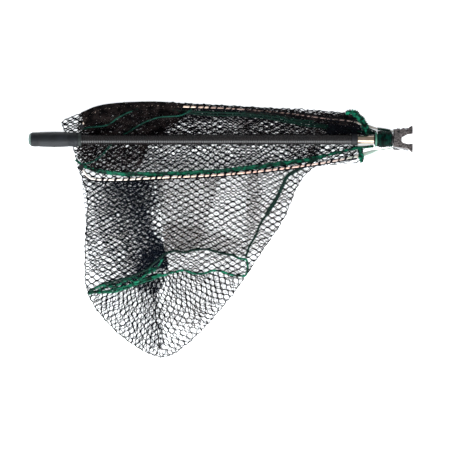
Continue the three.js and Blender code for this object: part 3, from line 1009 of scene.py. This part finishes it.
def build_rim_cords(mats):
    upper = Builder()
    rim = [(262, 56)] + UPPER_RIM_CORD
    lay_cord(upper, rim, mouth_height, -0.4)
    lay_cord(upper, beside(rim, 4.4, 2), mouth_height, -0.4, 2.0)
    lay_cord(upper, beside(rim[2:6], -4.0, 3), mouth_height, -0.6, 1.8)
    blend_mouth(upper.make("upper_rim_lacing", mats["shaded_cord"]), "upper", "green_cord",
                "upper_rim_cord")

    lower = Builder()
    lay_cord(lower, LOWER_RIM_CORD, mouth_height, 0.8, 2.6)
    lay_cord(lower, beside(LOWER_RIM_CORD[1:-3], 3.4, 4), mouth_height, -0.2, 2.2)
    blend_mouth(lower.make("lower_rim_lacing", mats["green_cord"]), "lower", "green_cord",
                "lower_rim_cord")


def build_front_cord(mats):
    """The slack cord between the arms' tips, in two pieces that meet at the handle."""
    front = smooth_route(FRONT_CORD, 2.0)
    split = int(np.argmin(np.abs(front[:, 1]) + (front[:, 0] > 175) * 99))
    parts = (("upper", front[: split + 1], ["front_cord"]), ("lower", front[split:], []))
    for side, part, nodes in parts:
        cord = Builder()
        laid_cord(cord, with_height(part, lambda x, y: bunch_height(x, y) + 4.4), 1.2)
        blend_mouth(cord.make(f"front_cord_{side}", mats["thin_cord"]), side, "green_cord",
                    *nodes)


def build_sack_cords(mats):
    ring = Builder()
    half = len(RING_CORD) // 2
    lay_cord(ring, RING_CORD[: half + 1], top_height, 0.6, 2.2, 1.3)
    for n, route in enumerate(GATHER_CORDS):
        lay_cord(ring, route, lambda x, y: top_height(x, y) - 0.6, -1.8 * n, 2.4, 1.2, n)
    lay_cord(ring, beside(RING_CORD[:4], -2.8, 6), top_height, -0.4, 1.8)
    blend_sack(ring.make("ring_lacing", mats["green_cord"]), "green_cord", "ring_cord")

    # The ring's far half is the green cord darkened as painted shade.
    far = Builder()
    lay_cord(far, RING_CORD[half:], top_height, -0.2, 2.3, 1.5)
    blend_sack(far.make("ring_lacing_far_side", mats["shaded_cord"]), "green_cord")

    seam = Builder()
    lay_cord(seam, SEAM_CORD, top_height, 0.4, 2.2)
    lay_cord(seam, beside(SEAM_CORD[:6], 2.6, 7), top_height, 0.0, 2.0)
    blend_sack(seam.make("seam_lacing", mats["shaded_cord"]), "green_cord", "seam_cord")


def coil(builder, path, coil_radius, cord_radius, pitch, sides=8):
    """Cord wound round a path, one turn each pitch.

    A coil_radius with a value for each point needs a path that is already in even steps."""
    path = np.asarray(path, float)
    if np.ndim(coil_radius) == 0:
        path = even_steps(path, pitch / COIL_STEPS)
    angle = np.arange(len(path)) * 2 * math.pi / COIL_STEPS
    radial = around(path, angle)
    reach = np.broadcast_to(np.asarray(coil_radius, float), angle.shape)[:, None]
    builder.tube(path + reach * radial, cord_radius, sides, up=radial)


def build_whipping(mats):
    """Two layers of thick cord wound round the head, waisted in the middle."""
    low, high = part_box("cord_whipping")
    x0, x1 = (low[0] - BUTT_X) / MM, (high[0] - BUTT_X) / MM
    radius, pitch = 1.9, 3.6
    whip = Builder()
    path = np.column_stack([np.linspace(x0 + 1.6, x1 - 1.6, 200), np.zeros(200),
                            np.full(200, AXIS_Z)])
    path = even_steps(path, pitch / COIL_STEPS)
    part = (path[:, 0] - x0) / (x1 - x0)
    outer = np.interp(part, [0, 0.1, 0.28, 0.5, 0.68, 0.84, 0.92, 1.0],
                      [12.8, 15.2, 16.2, 15.9, 14.6, 15.2, 15.0, 13.2])
    path[:, 1] += 0.8
    coil(whip, path, outer - radius, radius, pitch)
    coil(whip, path + np.array([0.8, 0, 0]), outer - 3.6, radius, pitch)
    piece = whip.make("whipping_turns", mats["whipping_cord"])
    ride_with(piece, "head", "green_cord", "cord_whipping")


def build_throat(mats):
    """Netting drawn in tight at the upper arm, and the ends of its binding."""
    part = closed([(548, 10.5), (556, 34), (580, 46), (600, 44), (616, 30), (626, 20),
                   (638, 15.5), (638, 9.2), (610, 9.2), (604, 11.5)])
    drawn = Builder()
    layers = [(part, angle, (0.9, squeeze))
              for angle, squeeze in ((-24, 0.45), (8, 0.5), (-48, 0.5))]
    add_layers(drawn, layers, 60, ground, 13.0, 1.6, radius=0.8)
    ride_with(drawn.make("upper_throat_netting", mats["netting"]), "arm_upper", "netting")

    ends = Builder()
    for z, route in ((19.5, [(616, 26), (628, 19.5), (639, 14.5)]),
                     (18.5, [(614, 20), (626, 15.5), (638, 12)]),
                     (17.5, [(606, 15), (620, 13), (636, 10.4)])):
        laid_cord(ends, with_height(smooth_route(route, 2.0), z), 1.3)
    piece = ends.make("upper_binding_ends", mats["whipping_cord"])
    ride_with(piece, "arm_upper", "green_cord")


def build_bindings(mats):
    """Cord wound round each arm at the throat, over a second layer wound inside it."""
    pitch = 3.4
    routes = {                # route, reach along it, height
        "upper": ([(584, 48), (595, 51), (604, 45), (612, 36), (618, 28), (621, 19), (624, 11)],
                  [3.4, 5.6, 6.2, 6.4, 6.6, 5.8, 3.8], 21.5),
        "lower": ([(610.5, -14), (611, -24), (612, -33), (613, -41)],
                  [4.6, 5.6, 5.4, 4.2], 20.5),
    }
    for side, (points, widths, z) in routes.items():
        wrap = Builder()
        fine = even_steps(with_height(smooth_route(points, 1.0), z), pitch / COIL_STEPS)
        fine = even_steps(fine, pitch / COIL_STEPS)
        reach = np.interp(np.linspace(0, 1, len(fine)), np.linspace(0, 1, len(widths)), widths)
        bumpy = reach - 1.5 + 0.9 * np.sin(np.arange(len(fine)) * 0.07)
        coil(wrap, fine, bumpy, 1.5, pitch)
        coil(wrap, fine[::-1], np.maximum(bumpy[::-1] - 1.6, 0.9), 1.7, pitch)
        piece = wrap.make(f"{side}_binding_turns", mats["binding_cord"])
        ride_with(piece, f"arm_{side}", "green_cord", f"{side}_binding")


# ---- Handle, head and arms ----
def ribbed(x0, x1, radius, pitch, depth):
    """A run of rounded ribs as a profile."""
    count = int((x1 - x0) / pitch)
    step = (x1 - x0) / count
    shape = [(0.0, -depth), (0.16, -0.3 * depth), (0.34, 0.0), (0.66, 0.0), (0.84, -0.3 * depth)]
    return [(x0 + (i + s) * step, radius + d) for i in range(count) for s, d in shape]


def build_handle(mats):
    """The turned pieces. Each profile is its points' x and radius."""
    def place(name, profile, material, cad_node, slot=None, body="handle", **shape):
        piece = turned(name, profile, mats[material], **shape)
        ride_with(piece, body, slot or material, cad_node)

    bore = 9.8
    grip = [(5.4, 0), (5.4, 12.2), (6.2, 12.9), (8, 13.2)]
    grip += ribbed(9, 21, 13.4, 1.6, 0.35)
    grip += [(22, 13.6), (34, 14.0), (48, 14.3), (62, 14.0), (72, 13.7)]
    grip += ribbed(74, 88, 13.4, 1.6, 0.35)
    grip += [(90, 13.1), (92, 11.9), (92, bore), (17.7, bore), (17.7, 0)]
    place("grip_rubber_sleeve", grip, "grip_rubber", "grip_sleeve")

    cap = [(0, 0), (0.1, 3), (0.5, 6.4), (1.2, 8.6), (2.3, 10.3), (3.6, 11.4), (5.1, 11.9),
           (5.1, 0)]
    place("grip_butt_cap", cap, "cap_rubber", "grip_end_cap")

    collar = [(92.3, bore), (92.3, 12.2), (92.8, 12.6), (94.2, 12.4), (95, 12.7), (96.4, 12.8),
              (97.6, 12.3), (98, 11.6), (98, bore), (92.3, bore)]
    place("grip_lip", collar, "lip_rubber", "grip_collar", slot="cap_rubber")

    tube = [(18, 8.5), (18, 9.5)]
    tube += [(99, 9.45)] + ribbed(100, 597.5, 9.5, 3.3, 0.9) + [(598.5, 9.4)]
    tube += [(602.5, 9.4), (602.5, 8.5), (18, 8.5)]
    place("ribbed_tube", tube, "black_tube", "outer_tube", sides=48, sharp=80)

    nut = [(594, bore), (594, 10.3), (594.6, 10.8), (596, 10.9), (602.6, 10.9), (604.6, 10.6),
           (605.6, 9.9), (605.6, 8.3), (604.8, 8.3), (604.8, bore), (594, bore)]
    place("tube_front_collar", nut, "black_plastic", "tube_end_collar")

    bush = [(602.7, 8.1), (602.7, 9.4), (604.4, 9.4), (604.4, 8.1), (602.7, 8.1)]
    place("guide_bush", bush, "nylon", "front_guide_bush")

    inner = [(302, 6.8), (302, 7.9), (651.5, 7.9), (652, 7.6), (652, 6.8), (302, 6.8)]
    place("polished_tube", inner, "polished_tube", "inner_tube", body="head", sides=96)

    lip = [(637.5, 10.3), (637.5, 12.2), (638.2, 13.0), (639.2, 13.4), (640.2, 13.2),
           (640.7, 12.6), (640.7, 10.3), (637.5, 10.3)]
    place("pale_lip_ring", lip, "pale_green", "socket_lip_ring", body="head")


def build_yoke(mats):
    """The forked plate with its slots, and the block under it."""
    low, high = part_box("yoke")
    top = high[2] / MM
    upper = [
        (671.3, 16.6), (674.5, 17.8), (679, 19.8), (682.5, 16.8), (685.4, 19.4), (690, 21.8),
        (690.6, 18.4), (697, 17.8), (698.7, 21.8), (705.4, 25.8), (706, 21), (706, 9.8),
        (696, 8.6), (689, 5.0), (684, 1.8),
    ]
    lower = [
        (683.6, -1.8), (687.6, -6.0), (697, -8.8), (706, -8), (706, -24.2), (704, -24.2),
        (700, -20.4), (697, -17.4), (690, -16.6), (682.5, -15.4), (676, -14.6), (671.3, -14.2),
    ]
    slots = [
        [(699.4, 20.4), (700.6, 21.2), (699.8, 12.6), (698.7, 12.6)],
        [(702.2, 22.4), (703.2, 23.0), (702.6, 12.2), (701.6, 12.2)],
        [(698.6, -12), (699.6, -12), (701.4, -19.4), (700.4, -18.6)],
        [(702, -11.4), (703, -11.4), (704, -21.6), (703, -20.8)],
    ]
    plate = bevelled_plate("yoke_plate", upper + lower, 24, top, 0.5, mats["cast_grey"])
    for slot in slots:
        cut_through(plate, slot, 26.5, top + 2)
    ride_with(plate, "head", "cast_grey", "yoke")
    block = bevelled_plate("yoke_hinge_block", [(671.3, -8), (686, -8), (686, 8), (671.3, 8)],
                           low[2] / MM, 24.4, 0.6, mats["cast_grey"])
    ride_with(block, "head", "cast_grey")
    build_yoke_fittings(mats, top)


def build_yoke_fittings(mats, top):
    """The rivet heads on the plate and the catch strips under its jaws."""
    heads = {"upper": (680, 13.6, 1.8), "lower": (681.5, -12.6, 1.7)}
    for side, (x, y, radius) in heads.items():
        disc = [(x + radius * math.cos(a), y + radius * math.sin(a))
                for a in np.linspace(0, 2 * math.pi, 25)[:-1]]
        rivet = bevelled_plate(f"{side}_rivet_head", disc, top - 1, top + 0.7, 0.3,
                               mats["dark_steel"])
        ride_with(rivet, "head", "dark_steel", f"yoke_rivet_{side}")

    strip = [(671, 12.6), (671.4, 14.4), (680, 17.4), (697, 22.2), (699.4, 18.6), (690, 13.6)]
    for side, sign in (("upper", 1), ("lower", -1)):
        spring = bevelled_plate(f"{side}_catch_strip", [(x, sign * y) for x, y in strip],
                                22.6, 23.6, 0.25, mats["steel"])
        ride_with(spring, "head", "steel", f"catch_spring_{side}")


def build_arms(mats):
    """Flat bars with rounded edges, broad near their roots."""
    arms = {                  # route, material, slimmest and widest half width
        "upper": (UPPER_ARM, "arm_metal_upper", 1.2, 2.6),
        "lower": (LOWER_ARM, "arm_metal", 1.8, 4.2),
    }
    angle = np.arange(16) * 2 * math.pi / 16
    c, s = np.cos(angle), np.sin(angle)
    squareness = 0.6
    section_y = np.sign(c) * np.abs(c) ** squareness
    section_z = 1.6 * np.sign(s) * np.abs(s) ** squareness
    for side, (route, material, slim, widest) in arms.items():
        line = with_height(smooth_route(route, 2.5), ARM_Z)[:-2]
        across = side_and_top(line)[0]
        line[:, 1] -= np.sign(line[:, 1]) * np.interp(line[:, 0], [636, 655, 668, 674],
                                                      [0, 0.7, 0.7, 0])
        width = np.interp(line[:, 0], [330, 360, 598, 612, 632, 642],
                          [1.8, slim, slim, widest, widest - 0.6, 1.2])
        rings = line[:, None] + (width[:, None] * section_y)[..., None] * across[:, None]
        rings[:, :, 2] += section_z
        bar = Builder()
        bar.rings(rings)
        piece = bar.make(f"{side}_arm_bar", mats[material])
        ride_with(piece, f"arm_{side}", "arm_metal", f"{side}_arm")
        if side == "upper":
            served = Builder()
            root = line[(line[:, 0] > 641) & (line[:, 0] < 667)]
            coil(served, root, 1.8, 0.8, 1.6, 6)
            piece = served.make("upper_arm_root_serving", mats["whipping_cord"])
            ride_with(piece, "arm_upper", "green_cord")


def dress_cad_nodes(mats):
    """Every CAD node that stays visible takes the material of its slot."""
    slots = {s["node"]: s["material_slot"] for s in frame["record"]["subparts"]}
    for name, thing in frame["nodes"].items():
        thing.data.materials.clear()
        thing.data.materials.append(mats[slots[name]])


# ---- Camera, light and floor ----
VIEW_CENTRE = (361.7, -157.3, 0)
VIEW_SPAN = 832.5             # width of the view on the floor
LENS, SENSOR = 135, 36
SKY = (0.94, 0.97, 1.0, 1)
SKY_STRENGTH = (1.0, 0.42)    # towards -Y and towards +Y
LAMP_COLOR = (0.93, 0.97, 1.0)
LAMPS = {                     # place, size, power
    "softbox": ((0.0, -0.05, 2.0), (3.0, 2.4), 96),
    "side": ((0.0, -1.35, 0.95), (3.2, 1.3), 115),
}
FLOOR_HALF = 6.0


def build_camera(centre):
    data = bpy.data.cameras.new("camera")
    data.lens = LENS
    data.sensor_width = SENSOR
    camera = bpy.data.objects.new("camera", data)
    camera.location = (centre[0], centre[1], VIEW_SPAN * MM * LENS / SENSOR)
    bpy.context.scene.collection.objects.link(camera)
    bpy.context.scene.camera = camera


def build_floor():
    h = FLOOR_HALF
    mesh = bpy.data.meshes.new("floor")
    mesh.from_pydata([(-h, -h, 0), (h, -h, 0), (h, h, 0), (-h, h, 0)], [], [(0, 1, 2, 3)])
    floor = add_object("floor", mesh, new_material("floor_white", (0.9, 0.9, 0.9), 0.9))


def build_sky():
    world = bpy.data.worlds.new("studio")
    world.use_nodes = True
    background = world.node_tree.nodes["Background"]
    background.inputs["Color"].default_value = SKY
    where = node(world, "ShaderNodeTexCoord")
    split = node(world, "ShaderNodeSeparateXYZ")
    fade = node(world, "ShaderNodeMapRange", {"From Min": -1, "From Max": 1,
                                              "To Min": SKY_STRENGTH[0],
                                              "To Max": SKY_STRENGTH[1]})
    link(world, where.outputs["Generated"], split.inputs["Vector"])
    link(world, split.outputs["Y"], fade.inputs["Value"])
    link(world, fade.outputs["Result"], background.inputs["Strength"])
    bpy.context.scene.world = world


def build_lamps(centre):
    """Two soft lamps. Only the one at the side shows in glossy surfaces."""
    for name, (place, (wide, tall), power) in LAMPS.items():
        data = bpy.data.lights.new(name, "AREA")
        data.shape = "RECTANGLE"
        data.size = wide
        data.size_y = tall
        data.energy = power
        data.color = LAMP_COLOR
        lamp = bpy.data.objects.new(name, data)
        lamp.location = place
        lamp.visible_glossy = name == "side"
        aim = Vector((centre[0], centre[1], 0)) - Vector(place)
        lamp.rotation_euler = aim.to_track_quat("-Z", "Y").to_euler()
        bpy.context.scene.collection.objects.link(lamp)


def build_stage():
    centre = row(VIEW_CENTRE)
    build_camera(centre)
    build_floor()
    build_sky()
    build_lamps(centre)
    bpy.context.scene.view_settings.view_transform = "Standard"


mats = make_materials()
build_stage()
dress_cad_nodes(mats)
for build in (build_sack, build_sack_folds, build_sack_back, build_mouth, build_mouth_back,
              build_bunch, build_hem_cover, build_hems, build_rim_cords, build_front_cord,
              build_sack_cords, build_whipping, build_throat, build_bindings, build_handle,
              build_yoke, build_arms):
    build(mats)
